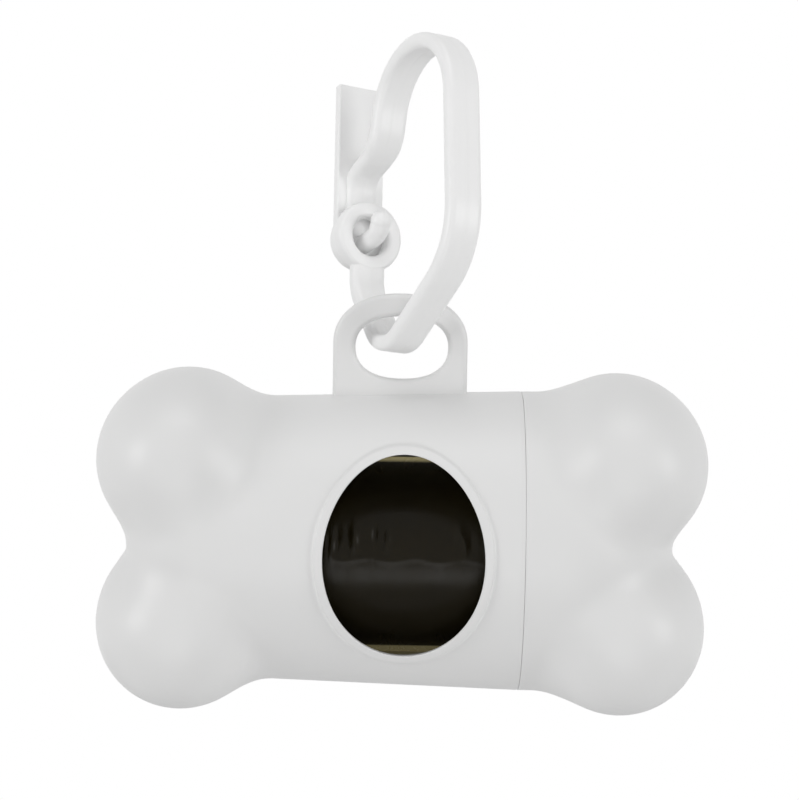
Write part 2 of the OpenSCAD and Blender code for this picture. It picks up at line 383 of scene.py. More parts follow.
def patch_loop(rows, cols):
    """Row and column numbers round the edge of a patch of a grid, clockwise from its first corner."""
    up = [(0, j) for j in range(cols)]
    right = [(i, cols) for i in range(rows)]
    down = [(rows, j) for j in range(cols, 0, -1)]
    left = [(i, 0) for i in range(rows, 0, -1)]
    return np.array(up + right + down + left)


def oval_ring(theta, grow, radius_at, s):
    """A ring round the window: an ellipse grown by a width, laid on the barrel of the radius given."""
    x = (mm(s.window_width) / 2 + grow) * np.cos(theta)
    z = (mm(s.window_height) / 2 + grow) * np.sin(theta)
    r = radius_at(x)
    return np.stack([x, -np.sqrt(r * r - z * z), z], -1)


def oval_layers(edge, theta, grow, radius_at, s, count):
    """Rings that blend a patch's edge into an oval, each laid back on the barrel."""
    inner = oval_ring(theta, grow, radius_at, s)
    t = np.linspace(0, 1, count)[:, None]
    x = edge[:, 0] * (1 - t) + inner[:, 0] * t
    z = edge[:, 2] * (1 - t) + inner[:, 2] * t
    r = radius_at(x)
    return np.stack([x, -np.sqrt(r * r - z * z), z], -1)


def housing_skin(s):
    """The long shell of the bone and the chamber inside it.

    A bone end, a tapered barrel with an oval window in a raised rim, and a
    threaded neck.
    """
    skin = Skin()
    phi = angles()
    slope = math.tan(s.draft)
    barrel, chamber = mm(s.barrel_radius), mm(s.chamber_radius)

    def outer(x):
        return barrel - INSET - slope * (SEAM_X - x)

    end = bone_end_rows(HOUSING_KNOB_X, HOUSING_WEB, -JOIN_X, outer(JOIN_X) + INSET, slope, s)[::-1].copy()
    end[..., 0] *= -1
    skin.fan(end[0], [INSET - HOUSING_WEB[0], 0, 0])
    skin.grid(end)
    rows, cols = 44, 58
    patch = np.linspace(-13.8, 13.6, rows + 1)
    xs = np.concatenate([[JOIN_X, -14.6], patch, [14.6, 15.6, SEAM_X - LIP]])
    skirt = round_turn(xs[:, None], outer(xs)[:, None], phi[None, :])
    skirt[-1] = round_turn(SEAM_X, outer(SEAM_X) - LIP, phi)
    first = 2
    skin.grid(skirt, skip=(first, first + rows, 0, cols))
    loop = patch_loop(rows, cols)
    edge = skirt[loop[:, 0] + first, loop[:, 1]]
    theta = np.arctan2(edge[:, 2] / 16.3, (edge[:, 0] + 0.1) / 13.7)
    w, h = mm(s.rim_width), mm(s.rim_height)
    skin.grid(oval_layers(edge, theta, w + 0.4, outer, s, 12))
    # The rim's section, as (how far out from the window's edge, how far up from the barrel)
    steps = [(w + 0.4, 0), (w + 0.16, 0.03), (w + 0.05, 0.12 * 2 * h), (w, 0.5 * h)]
    steps += [(w - 0.05, 0.8 * h), (w - 0.17, 0.97 * h), (w - 0.3, h), (0.24, h)]
    steps += [(0.12, 0.97 * h), (0.04, 0.84 * h), (0, 0.6 * h), (0.1, -0.5), (0.55, -1.5)]
    rim = [oval_ring(theta, g, lambda x, up=up: outer(x) + up, s) for g, up in steps]
    rim.append(oval_ring(theta, 1.0, lambda x: chamber + 0.15 + 0 * x, s))
    rim.append(oval_ring(theta, 1.12, lambda x: chamber + 0 * x, s))
    skin.grid(np.array(rim))

    # The chamber, its columns spread apart beside the window
    before = [-29.4, -27, -24, -20, -17, -15]
    xi = np.concatenate([before, patch, [15, 17, 20, 23.6]])
    spread = np.clip((17 - np.abs(xi)) / 3.2, 0, 1)[:, None]
    turn = np.degrees(phi)[None, :]
    reach = 64  # degrees that the patch takes up inside, a little more than outside
    beyond = reach + (turn - PATCH_REACH) * (360 - 2 * reach) / (360 - 2 * PATCH_REACH)
    wide = np.where(turn <= PATCH_REACH + 0.001, turn * reach / PATCH_REACH, beyond)
    bore = np.radians(turn + spread * (wide - turn))
    wall = round_turn(xi[:, None], np.full((len(xi), 1), chamber), bore)
    skin.grid(wall, flip=True, skip=(len(before), len(before) + rows, 0, cols))
    inner_edge = wall[loop[:, 0] + len(before), loop[:, 1]]
    skin.grid(oval_layers(inner_edge, theta, 1.12, lambda x: chamber + 0 * x, s, 6)[::-1])
    floor = [(HOUSING_DEPTH, 8), (HOUSING_DEPTH, chamber - 2.6), (-32.28, chamber - 2.12)]
    floor += [(-31.9, chamber - 1.66), (before[0], chamber)]
    skin.grid(profile_turn(floor, phi), flip=True)
    skin.fan(round_turn(HOUSING_DEPTH, 8.0, phi), [HOUSING_DEPTH, 0, 0], flip=True)

    # The neck with its screw ridge
    seam_face = [(SEAM_X, barrel - INSET - LIP), (SEAM_X, 18.85), (17.2, 18.85)]
    seam_face += [(17.35, NECK_R), (17.6, NECK_R)]
    skin.grid(profile_turn(seam_face, phi))
    xn = np.linspace(17.6, 23.3, 60)[:, None]
    skin.grid(round_turn(xn, NECK_R + thread(xn, phi, 17.6, 23.3, 0.4), phi[None, :]))
    mouth = [(23.3, NECK_R), (23.7, 18.35), (23.8, 18.15), (23.8, 17.1), (23.74, 16.95), (23.6, chamber)]
    skin.grid(profile_turn(mouth, phi))
    return skin


def lug_skin():
    """The hanging lug.

    Rings between the oval hole and the arched outline, carried round both
    rounded edges of the plate.
    """
    skin = Skin()
    n = 160
    a = np.linspace(0, 2 * math.pi, n, endpoint=False)
    hole_half, hole_tall = 6.35, 4.3
    hole_x, hole_z = -0.7, BAR_Z - 1.55 - hole_tall
    c, si = np.cos(a), np.sin(a)
    power = 2 / 2.3
    hole_u = hole_x + hole_half * np.sign(c) * np.abs(c) ** power
    hole_v = hole_z + hole_tall * np.sign(si) * np.abs(si) ** power
    hole = np.stack([hole_u, hole_v], -1)
    middle, half, foot, shoulder, top = -0.9, 9.2, 18.2, 27.0, 33.8
    arch = np.linspace(0, math.pi, 81)
    ca, sa = np.cos(arch), np.sin(arch)
    curve_u = middle + half * np.sign(ca) * np.abs(ca) ** 0.92
    curve = np.stack([curve_u, shoulder + (top - shoulder) * sa**0.92], -1)
    side = np.linspace(foot, shoulder, 30)[:-1]
    right = np.stack([np.full(29, middle + half), side], -1)
    left = np.stack([np.full(29, middle - half), side[::-1]], -1)
    base = np.stack([np.linspace(middle - half, middle + half, 20)[1:-1], np.full(18, foot)], -1)
    line = np.vstack([right, curve, left, base])
    bearing = np.unwrap(np.arctan2(line[:, 1] - hole_z, line[:, 0] - hole_x))
    bearing = np.concatenate([bearing - 2 * math.pi, bearing, bearing + 2 * math.pi])
    outline = np.stack([np.interp(a, bearing, np.tile(line[:, k], 3)) for k in (0, 1)], -1)

    def normals(ring):
        d = np.roll(ring, -1, 0) - np.roll(ring, 1, 0)
        out = np.stack([d[:, 1], -d[:, 0]], -1)
        return out / np.linalg.norm(out, axis=1, keepdims=True)

    no, nh = normals(outline), normals(hole)
    t, e = 1.2, 0.7
    arc = np.linspace(0, math.pi / 2, 7)
    rows = [(hole + nh * (e - e * math.cos(q)), -(t - e) - e * math.sin(q)) for q in arc]
    for f in np.linspace(0, 1, 8)[1:-1]:
        rows.append(((hole + nh * e) * (1 - f) + (outline - no * e) * f, -t))
    rows += [(outline - no * (e - e * math.cos(q)), -(t - e) - e * math.sin(q)) for q in arc[::-1]]
    back = [(ring, -y) for ring, y in rows[::-1]]
    around = rows + back + rows[:1]
    skin.grid(np.array([np.stack([ring[:, 0], np.full(n, y), ring[:, 1]], -1) for ring, y in around]))
    return skin


def cap_skin(s):
    """The screw cap: the other bone end, with a threaded socket and a hollow inside."""
    skin = Skin()
    phi = angles()
    barrel, chamber, mouth = mm(s.barrel_radius), mm(s.chamber_radius), 15.84
    end = bone_end_rows(CAP_KNOB_X, CAP_WEB, mouth, barrel, 0, s)
    edge = [(mouth, 19.15), (mouth, barrel - INSET - LIP), (mouth + LIP, barrel - INSET)]
    skin.grid(profile_turn(edge, phi))
    end[0] = round_turn(mouth + LIP, barrel - INSET, phi)
    skin.grid(end)
    skin.fan(end[-1], [CAP_WEB[0] - INSET, 0, 0], flip=True)
    skin.grid(profile_turn([(mouth, 19.15), (mouth + 0.15, SOCKET_R), (16.5, SOCKET_R)], phi), flip=True)
    xs = np.linspace(16.5, 23.5, 60)[:, None]
    ridge = thread(xs + THREAD_PITCH / 2, phi, 17.7, 24.7, 0.35)
    skin.grid(round_turn(xs, SOCKET_R - ridge, phi[None, :]), flip=True)
    hollow = [(23.5, SOCKET_R), (23.95, SOCKET_R), (23.95, chamber), (28.4, chamber)]
    hollow += [(30.9, chamber - 1.66), (31.28, chamber - 2.12), (CAP_DEPTH, chamber - 2.6), (CAP_DEPTH, 8)]
    skin.grid(profile_turn(hollow, phi), flip=True)
    skin.fan(round_turn(CAP_DEPTH, 8.0, phi), [CAP_DEPTH, 0, 0])
    return skin


# The clip

YAW, LEAN = math.radians(60), math.radians(16)
AXIS_U = np.array([math.cos(YAW), -math.sin(YAW) * math.cos(LEAN), math.sin(YAW) * math.sin(LEAN)])
AXIS_V = np.array([0, math.sin(LEAN), math.cos(LEAN)])
AXIS_W = np.cross(AXIS_U, AXIS_V)
CLIP_ORIGIN = np.array([-0.9, 0, BAR_Z - 0.3])
RING_U, RING_V, DISC_U = -9.8, 11.9, -12.3
KNEE = 11.0  # the knee sweeps wide, so the runs on both sides of it are shorter
CUT = (KNEE - 5.5) * math.tan(math.radians(30.5))
# The clip's route: a run is its length alone, a bend is its radius and its turn in degrees
LOOP_STEPS = [(5.9,), (6, 35), (6.6,), (5, 87), (13.8998 - CUT,), (KNEE, 61), (18.6 - CUT,)]
LOOP_STEPS += [(9.8, 165), (1.6,), (5.5, -38)]
ARM_STEPS = [(5.5, -20), (2.2,), (3.4, 70), (3.66,)]
DISC_R, DISC_EDGE = 4.2, 0.45
DISC_BACK, TAB_BACK = 0.09, 0.06  # the two backs stand out unevenly, so they share no plane


def from_clip(u, v, w):
    """Points of the clip's own plane, measured from the middle of the bone."""
    u, v, w = (np.asarray(k, float)[..., None] for k in np.broadcast_arrays(u, v, w))
    return CLIP_ORIGIN + u * AXIS_U + v * AXIS_V + w * AXIS_W


def walk(start, steps, pace=0.35):
    """Points and headings along straight runs and bends, as rows of (u, v, heading)."""
    u, v, h = start
    rows = [(u, v, h)]
    for step in steps:
        if len(step) == 1:
            n = max(2, int(step[0] / 0.9))
            for k in range(1, n + 1):
                f = step[0] * k / n
                rows.append((u + f * math.cos(h), v + f * math.sin(h), h))
        else:
            turn = math.radians(step[1])
            side = math.copysign(math.pi / 2, turn)
            cu, cv = u + step[0] * math.cos(h + side), v + step[0] * math.sin(h + side)
            n = max(4, int(abs(turn) * step[0] / pace))
            for k in range(1, n + 1):
                g = h + turn * k / n
                rows.append((cu + step[0] * math.cos(g - side), cv + step[0] * math.sin(g - side), g))
        u, v, h = rows[-1]
    return np.array(rows)


def band_section(t, w, e):
    """Outline of the band: a rounded rectangle whose wide faces crown a little to a faint mould line."""
    q = np.linspace(0, math.pi / 2, 6)
    corner = np.stack([t / 2 - e + e * np.cos(q), w / 2 - e + e * np.sin(q)], -1)
    side = np.array([[t / 2 + 0.03, 0.0], [t / 2 - 0.005, 0.12], [t / 2, 0.5], [t / 2, w / 2 - e - 0.2]])
    quarter = np.vstack([side, corner, [[0.2, w / 2]]])
    top = np.vstack([quarter, (quarter * [-1, 1])[::-1]])
    bottom = (top * [1, -1])[::-1]
    return np.vstack([top, bottom[1:-1]])


def sweep(skin, path, section):
    """Carries a section along a path, square to its heading, and closes both ends."""
    nu, nv = -np.sin(path[:, 2:3]), np.cos(path[:, 2:3])
    u = path[:, :1] + nu * section[None, :, 0]
    v = path[:, 1:2] + nv * section[None, :, 0]
    w = np.broadcast_to(section[None, :, 1], u.shape)
    rows = from_clip(u, v, w)
    skin.grid(rows)
    for row, at in ((rows[0], path[0]), (rows[-1], path[-1])):
        skin.fan(row, from_clip(at[0], at[1], 0.0))


def lathe_u(skin, u, r, centre_v, closed):
    """Revolves a profile about a line along the clip's u axis.

    A closed profile makes a ring, an open one is closed at its poles.
    """
    a = np.linspace(0, 2 * math.pi, 72, endpoint=False)
    u, r = np.asarray(u, float)[:, None], np.asarray(r, float)[:, None]
    rows = from_clip(u + 0 * a, centre_v + r * np.cos(a), r * np.sin(a))
    if closed:
        rows = np.concatenate([rows, rows[:1]])
    skin.grid(rows)
    if not closed:
        skin.fan(rows[0], from_clip(u[0, 0], centre_v, 0.0))
        skin.fan(rows[-1], from_clip(u[-1, 0], centre_v, 0.0))


def rounded_box_profile(u0, u1, r0, r1, e):
    """A closed rectangle with rounded corners, as u and radius."""
    q = np.linspace(0, math.pi / 2, 6)
    corners = [(u1 - e, r1 - e, 0), (u0 + e, r1 - e, 1), (u0 + e, r0 + e, 2), (u1 - e, r0 + e, 3)]
    u = np.concatenate([cu + e * np.cos(q + k * math.pi / 2) for cu, _, k in corners])
    r = np.concatenate([cr + e * np.sin(q + k * math.pi / 2) for _, cr, k in corners])
    return u, r


FLEX_AT = walk((RING_U, RING_V, math.radians(270)), LOOP_STEPS)[-1]


def loop_skin(s):
    """The fixed part of the clip: the band from the ring round to the thin bend, and the ring."""
    skin = Skin()
    t, w, e = mm(s.band_thickness), mm(s.band_width), mm(s.edge_radius)
    path = walk((RING_U, RING_V - 4.0, math.radians(270)), [(1.9,)] + LOOP_STEPS[1:])
    sweep(skin, path[:-3], band_section(t, w, e))
    u, r = rounded_box_profile(RING_U - t / 2 - 0.06, RING_U + t / 2 + 0.06, 2.8, 5.0, 0.6)
    lathe_u(skin, u, r, RING_V, True)
    return skin


def flex_skin(s):
    """The bend where the arm flexes: the same band, narrowing from the loop's width to the arm's."""
    skin = Skin()
    t, w, e = mm(s.band_thickness), mm(s.band_width), mm(s.edge_radius)
    whole = walk((RING_U, RING_V - 4.0, math.radians(270)), [(1.9,)] + LOOP_STEPS[1:])
    path = np.vstack([whole[-4:], walk(tuple(FLEX_AT), ARM_STEPS)[1:5]])
    f = np.linspace(0, 1, len(path))[:, None]
    f = f * f * (3 - 2 * f)
    a, b = band_section(t, w, e), band_section(t, mm(s.arm_width), e)
    nu, nv = -np.sin(path[:, 2:3]), np.cos(path[:, 2:3])
    across = a[None, :, 0] * (1 - f) + b[None, :, 0] * f
    along = a[None, :, 1] * (1 - f) + b[None, :, 1] * f
    rows = from_clip(path[:, :1] + nu * across, path[:, 1:2] + nv * across, along)
    skin.grid(rows)
    for row, at in ((rows[0], path[0]), (rows[-1], path[-1])):
        skin.fan(row, from_clip(at[0], at[1], 0.0))
    return skin


def lever_skin(s):
    """The sprung arm: its bends, the disc, the thumb tab and the peg with a rounded tip."""
    skin = Skin()
    t, e = mm(s.band_thickness), mm(s.edge_radius)
    path = walk(tuple(FLEX_AT), ARM_STEPS)[4:]
    sweep(skin, path, band_section(t, mm(s.arm_width), e))
    q = np.linspace(0, math.pi / 2, 6)
    front = DISC_U + t / 2 - DISC_EDGE * (1 - np.cos(q))
    back = DISC_U - t / 2 - DISC_BACK + DISC_EDGE * (1 - np.cos(q))
    r = DISC_R - DISC_EDGE * (1 - np.sin(q))
    lathe_u(skin, np.concatenate([front, back[::-1]]), np.concatenate([r, r[::-1]]), RING_V, False)

    # The thumb tab: rings of a long rounded outline, carried from one face over the edge to the other
    half, tall, k = 3.7, 22.7, 0.35
    c = np.linspace(0, math.pi / 2, 8)
    corner = np.stack([half - k + k * np.sin(c), tall - k + k * np.cos(c)], -1)
    low = np.linspace(0, math.pi, 40)
    bottom = np.stack([half * np.cos(low), -half * np.sin(low)], -1)
    outline = np.vstack([corner, bottom, (corner * [-1, 1])[::-1]])
    d = np.roll(outline, -1, 0) - np.roll(outline, 1, 0)
    out = np.stack([-d[:, 1], d[:, 0]], -1)
    out /= np.maximum(np.linalg.norm(out, axis=1, keepdims=True), 1e-9)
    u0, u1, b = DISC_U - t / 2 - TAB_BACK, DISC_U - t / 2 + 1.3, 0.3
    rows = []
    for face, sign in ((u0, 1), (u1, -1)):
        turns = np.linspace(0, math.pi / 2, 5) if sign > 0 else np.linspace(math.pi / 2, 0, 5)
        for a in turns:
            ring = outline - out * b * (1 - math.sin(a))
            depth = np.full(len(ring), face + sign * b * (1 - math.cos(a)))
            rows.append(from_clip(depth, RING_V + ring[:, 1], ring[:, 0]))
    rows = np.array(rows)
    skin.grid(rows)
    skin.fan(rows[0], from_clip(u0, RING_V + 8, 0.0))
    skin.fan(rows[-1], from_clip(u1, RING_V + 8, 0.0))

    # The peg goes through the ring, hooks upward and ends in a ball
    stem = walk((DISC_U, RING_V - 0.9, math.radians(7)), [(4.35,), (2.0, 55), (1.0,)], 0.2)
    h = stem[-1, 2]
    tip_r = 1.5
    ball = np.linspace(math.radians(110), math.radians(4), 16)[:, None]
    tip = np.hstack([stem[-1:, :2] + tip_r * np.cos(ball) * [math.cos(h), math.sin(h)], np.full((16, 1), h)])
    path = np.vstack([stem[:-1], tip])
    swell = np.interp(np.linspace(0, 1, len(stem) - 1), [0, 0.7, 1], [1.35, 1.35, 1.41])
    radius = np.concatenate([swell, tip_r * np.sin(ball[:, 0])])[:, None]
    a = np.linspace(0, 2 * math.pi, 40, endpoint=False)
    across = radius * np.cos(a)
    u = path[:, :1] - across * np.sin(path[:, 2:3])
    v = path[:, 1:2] + across * np.cos(path[:, 2:3])
    rows = from_clip(u, v, radius * np.sin(a))
    skin.grid(rows)
    skin.fan(rows[0], from_clip(path[0, 0], path[0, 1], 0.0))
    pole = stem[-1, 0] + tip_r * math.cos(h), stem[-1, 1] + tip_r * math.sin(h)
    skin.fan(rows[-1], from_clip(*pole, 0.0))
    return skin


# The roll of bags

ROLL_Z = -2.15  # the roll rests low in the chamber
ROLL_HALF, ROLL_BORE = 29.5, 6.06
FILM_HALF, FILM_FINE = 27.5, 13.5  # the loose bag's half length, and the half that shows in the window


def ripple(x, phi, seed, count, low, high):
    """A sum of sine waves with fixed pseudo-random directions and phases, between minus one and one."""
    rng = np.random.default_rng(seed)
    total = 0
    for _ in range(count):
        kx = rng.uniform(low, high)
        kp = rng.integers(1, 5)
        total = total + np.sin(kx * x + kp * phi + rng.uniform(0, 6.28)) * rng.uniform(0.5, 1)
    return total / count


def roll_skin(s):
    """The tight roll.

    A tube with a slightly uneven outer wrap, whose ends show the wound layers
    as fine steps.
    """
    skin = Skin()
    phi = np.linspace(0, 2 * math.pi, AROUND, endpoint=False)
    wrap = ROLL_HALF - 0.2
    x = np.linspace(-wrap, wrap, 90)[:, None]
    r = mm(s.roll_radius) - 0.1 + 0.06 * ripple(x, phi, 3, 6, 0.1, 0.5)
    body = round_turn(x, r, phi[None, :])
    layers = np.linspace(1, 0, 26)
    left = []
    right = []
    for k, f in enumerate(layers):
        radius = ROLL_BORE + (mm(s.roll_radius) - 0.3 - ROLL_BORE) * f
        step = 0.12 * (k % 2)
        right.append(round_turn(ROLL_HALF - step, radius, phi))
        left.append(round_turn(-ROLL_HALF + step, radius, phi))
    inner = round_turn(np.array([[wrap], [-wrap]]), np.full((2, 1), ROLL_BORE), phi[None, :])
    whole = np.concatenate([np.array(left[::-1]), body, np.array(right), inner, np.array(left[::-1])[:1]])
    whole[..., 2] += ROLL_Z
    skin.grid(whole)
    return skin


def core_skin():
    """The board tube: an outer wall, two square ends and a bore, with its edges just broken."""
    skin = Skin()
    phi = np.linspace(0, 2 * math.pi, 96, endpoint=False)
    wall = [(-30, 5.2), (-30, 5.85), (-29.85, 6.0), (29.85, 6.0), (30, 5.85), (30, 5.2)]
    bore = [(29.8, 5.0), (-29.8, 5.0), (-30, 5.2)]
    rows = profile_turn(wall + bore, phi)
    rows[..., 2] += ROLL_Z
    skin.grid(rows)
    return skin


def film_skin(s):
    """The loose outer bag: one thin layer round the roll.

    Short puckers lie above the middle of the window, a low ridge runs along
    it, and slow waves slacken the whole. Rows and columns are closer together
    where the window shows them.
    """
    skin = Skin()
    seen = 0.8  # angle to each side of the front that the window shows
    phi = np.concatenate([np.linspace(-seen, seen, 121), np.linspace(seen, 2 * math.pi - seen, 62)[1:-1]])
    left = np.linspace(-FILM_HALF, -FILM_FINE, 18)[:-1]
    right = np.linspace(FILM_FINE, FILM_HALF, 18)[1:]
    x = np.concatenate([left, np.linspace(-FILM_FINE, FILM_FINE, 150), right])[:, None]
    rise = (phi + math.pi) % (2 * math.pi) - math.pi
    pucker = 0
    rng = np.random.default_rng(11)
    for _ in range(46):
        at = rng.uniform(-13, 13)
        width = rng.uniform(0.22, 0.55)
        lean = rng.uniform(-2.5, 2.5)
        middle = 0.3 + rng.uniform(-0.1, 0.08)
        reach = np.exp(-(((rise - middle) / rng.uniform(0.08, 0.16)) ** 2))
        height = rng.uniform(-0.6, 1.0)
        pucker = pucker + height * reach * np.exp(-(((x - at - lean * (rise - middle)) / width) ** 2))
    ridge = np.exp(-(((rise - 0.1 - 0.02 * np.sin(x)) / 0.035) ** 2)) * np.exp(-((x / 14) ** 4))
    slack = ripple(x, phi, 7, 8, 0.08, 0.35)
    r = mm(s.film_radius) + mm(s.wrinkle) * (1.5 * pucker + 0.35 * ridge) + 0.08 * slack
    r = np.clip(r, mm(s.roll_radius) + 0.42, mm(s.film_radius) + 0.38)
    outer = round_turn(x, r, phi[None, :])
    inner = round_turn(x, r - 0.05, phi[None, :])[::-1]
    whole = np.concatenate([outer, inner, outer[:1]])
    whole[..., 2] += ROLL_Z
    skin.grid(whole)
    return skin


# Finishes


def grain_group():
    """Moulded grain: fine and broad noise on object coordinates, as a height and a mask."""
    name = "moulded_grain"
    if name in bpy.data.node_groups:
        return bpy.data.node_groups[name]
    group = bpy.data.node_groups.new(name, "ShaderNodeTree")
    scale = group.interface.new_socket(name="Scale", in_out="INPUT", socket_type="NodeSocketFloat")
    scale.default_value = 1500
    group.interface.new_socket(name="Height", in_out="OUTPUT", socket_type="NodeSocketFloat")
    group.interface.new_socket(name="Mask", in_out="OUTPUT", socket_type="NodeSocketFloat")
    nodes, links = group.nodes, group.links
    given, put = nodes.new("NodeGroupInput"), nodes.new("NodeGroupOutput")
    where = nodes.new("ShaderNodeTexCoord")
    fine, broad = nodes.new("ShaderNodeTexNoise"), nodes.new("ShaderNodeTexNoise")
    fine.inputs["Detail"].default_value = 3
    broad.inputs["Scale"].default_value = 60
    broad.inputs["Detail"].default_value = 4
    links.new(given.outputs["Scale"], fine.inputs["Scale"])
    links.new(where.outputs["Object"], fine.inputs["Vector"])
    links.new(where.outputs["Object"], broad.inputs["Vector"])
    links.new(fine.outputs["Fac"], put.inputs["Height"])
    links.new(broad.outputs["Fac"], put.inputs["Mask"])
    return group


def plastic(name, colour, rough, grain, bump):
    """Satin plastic: the colour drifts by a few hundredths, the roughness by a tenth, over a fine grain."""
    material = bpy.data.materials.new(name)
    material.use_nodes = True
    nodes, links = material.node_tree.nodes, material.node_tree.links
    shader = nodes["Principled BSDF"]
    shader.inputs["IOR"].default_value = 1.49
    group = nodes.new("ShaderNodeGroup")
    group.node_tree = grain_group()
    group.inputs["Scale"].default_value = grain
    tint = nodes.new("ShaderNodeMix")
    tint.data_type = "RGBA"
    tint.inputs["A"].default_value = [*(c * 0.975 for c in colour), 1]
    tint.inputs["B"].default_value = [*(min(1, c * 1.015) for c in colour), 1]
    links.new(group.outputs["Mask"], tint.inputs["Factor"])
    links.new(tint.outputs["Result"], shader.inputs["Base Color"])
    gloss = nodes.new("ShaderNodeMapRange")
    gloss.inputs["To Min"].default_value = rough - 0.04
    gloss.inputs["To Max"].default_value = rough + 0.06
    links.new(group.outputs["Mask"], gloss.inputs["Value"])
    links.new(gloss.outputs["Result"], shader.inputs["Roughness"])
    relief = nodes.new("ShaderNodeBump")
    relief.inputs["Strength"].default_value = bump
    relief.inputs["Distance"].default_value = 0.00002
    links.new(group.outputs["Height"], relief.inputs["Height"])
    links.new(relief.outputs["Normal"], shader.inputs["Normal"])
    return material


def film_material(name, colour, rough, alpha, specular, painted_light_colour=None):
    """Thin blown film.

    Stretched noise makes streaks of thicker and thinner colour and soft
    creases. Above and below the tight roll the colour turns to the given
    painted light colour, standing in for light that comes through the film,
    and the film glows in that colour, more strongly towards the top: painted
    light and a painted glow.
    """
    material = bpy.data.materials.new(name)
    material.use_nodes = True
    nodes, links = material.node_tree.nodes, material.node_tree.links
    shader = nodes["Principled BSDF"]
    shader.inputs["IOR"].default_value = 1.45
    shader.inputs["Specular IOR Level"].default_value = specular
    shader.inputs["Alpha"].default_value = alpha
    where, turn = nodes.new("ShaderNodeTexCoord"), nodes.new("ShaderNodeMapping")
    turn.inputs["Scale"].default_value = (1.0, 0.35, 0.35)
    streak = nodes.new("ShaderNodeTexNoise")
    streak.inputs["Scale"].default_value = 420
    streak.inputs["Detail"].default_value = 4
    links.new(where.outputs["Object"], turn.inputs["Vector"])
    links.new(turn.outputs["Vector"], streak.inputs["Vector"])
    tint = nodes.new("ShaderNodeMix")
    tint.data_type = "RGBA"
    tint.inputs["A"].default_value = [*(c * 0.8 for c in colour), 1]
    tint.inputs["B"].default_value = [*(c * 1.15 for c in colour), 1]
    links.new(streak.outputs["Fac"], tint.inputs["Factor"])
    base = tint.outputs["Result"]
    if painted_light_colour is not None:
        # Painted light: where the film stands clear of the roll, its colour turns to the painted light
        # colour, standing in for light that comes through it
        split, reach = nodes.new("ShaderNodeSeparateXYZ"), nodes.new("ShaderNodeMapRange")
        away, painted_backlight = nodes.new("ShaderNodeMath"), nodes.new("ShaderNodeMix")
        away.operation = "SUBTRACT"
        away.inputs[1].default_value = (BONE[2] - 1.3) / 1000
        size = nodes.new("ShaderNodeMath")
        size.operation = "ABSOLUTE"
        reach.inputs["From Min"].default_value = 0.0122
        reach.inputs["From Max"].default_value = 0.01245
        links.new(where.outputs["Object"], split.inputs[0])
        links.new(split.outputs["Z"], away.inputs[0])
        links.new(away.outputs[0], size.inputs[0])
        links.new(size.outputs[0], reach.inputs["Value"])
        painted_backlight.data_type = "RGBA"
        painted_backlight.inputs["B"].default_value = [*painted_light_colour, 1]
        links.new(reach.outputs["Result"], painted_backlight.inputs["Factor"])
        links.new(base, painted_backlight.inputs["A"])
        base = painted_backlight.outputs["Result"]
        # Painted glow: there the film also glows in that colour, more strongly towards the top, though it is
        # no lamp
        height, glow = nodes.new("ShaderNodeMapRange"), nodes.new("ShaderNodeMath")
        height.inputs["From Min"].default_value = (BONE[2] - 15) / 1000
        height.inputs["From Max"].default_value = (BONE[2] + 11) / 1000
        height.inputs["To Min"].default_value = 0.16
        height.inputs["To Max"].default_value = 0.5
        glow.operation = "MULTIPLY"
        links.new(split.outputs["Z"], height.inputs["Value"])
        links.new(height.outputs["Result"], glow.inputs[0])
        links.new(reach.outputs["Result"], glow.inputs[1])
        links.new(glow.outputs[0], shader.inputs["Emission Strength"])
        shader.inputs["Emission Color"].default_value = [*painted_light_colour, 1]
    links.new(base, shader.inputs["Base Color"])
    gloss = nodes.new("ShaderNodeMapRange")
    gloss.inputs["To Min"].default_value = rough - 0.06
    gloss.inputs["To Max"].default_value = rough + 0.1
    links.new(streak.outputs["Fac"], gloss.inputs["Value"])
    links.new(gloss.outputs["Result"], shader.inputs["Roughness"])
    relief = nodes.new("ShaderNodeBump")
    relief.inputs["Strength"].default_value = 0.5
    relief.inputs["Distance"].default_value = 0.0002
    links.new(streak.outputs["Fac"], relief.inputs["Height"])
    links.new(relief.outputs["Normal"], shader.inputs["Normal"])
    return material


# Operators

FLOOR_DROP, FLOOR_HALF = 0.4, 0.9  # metres below the part, and from its middle to an edge
FLOOR_GLOW = 0.62  # keeps the floor white to the camera and lights nothing
CAMERA_PLACE = (0, -328.18, 50.219)  # millimetres from the middle of the bone
CAMERA_LENS, CAMERA_DOWN, CAMERA_TURN, CAMERA_ROLL = 108.007, 5.404, 0.1597, 0.8773


class DISPENSER_OT_case(bpy.types.Operator):
    """Make the long shell of the bone with its window, lug, neck and chamber"""

    bl_idname = "dispenser.case"
    bl_label = "Case"

    def execute(self, context):
        s, c = context.scene.dispenser_case, context.scene.dispenser_colours
        white = plastic("shell_white", c.shell, 0.42, 1500, 0.12)
        shell = housing_skin(s).object("case_shell", white)
        lug = lug_skin().object("case_lug", white, recalc=True)
        for piece in (shell, lug):
            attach(piece, "case")
        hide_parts("housing")
        return {"FINISHED"}


class DISPENSER_OT_cap(bpy.types.Operator):
    """Make the screw cap with its threaded socket"""

    bl_idname = "dispenser.cap"
    bl_label = "Cap"

    def execute(self, context):
        s, c = context.scene.dispenser_case, context.scene.dispenser_colours
        white = plastic("cap_white", c.shell, 0.42, 1500, 0.12)
        cap = cap_skin(s).object("cap_shell", white)
        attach(cap, "cap")
        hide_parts("end_cap")
        return {"FINISHED"}


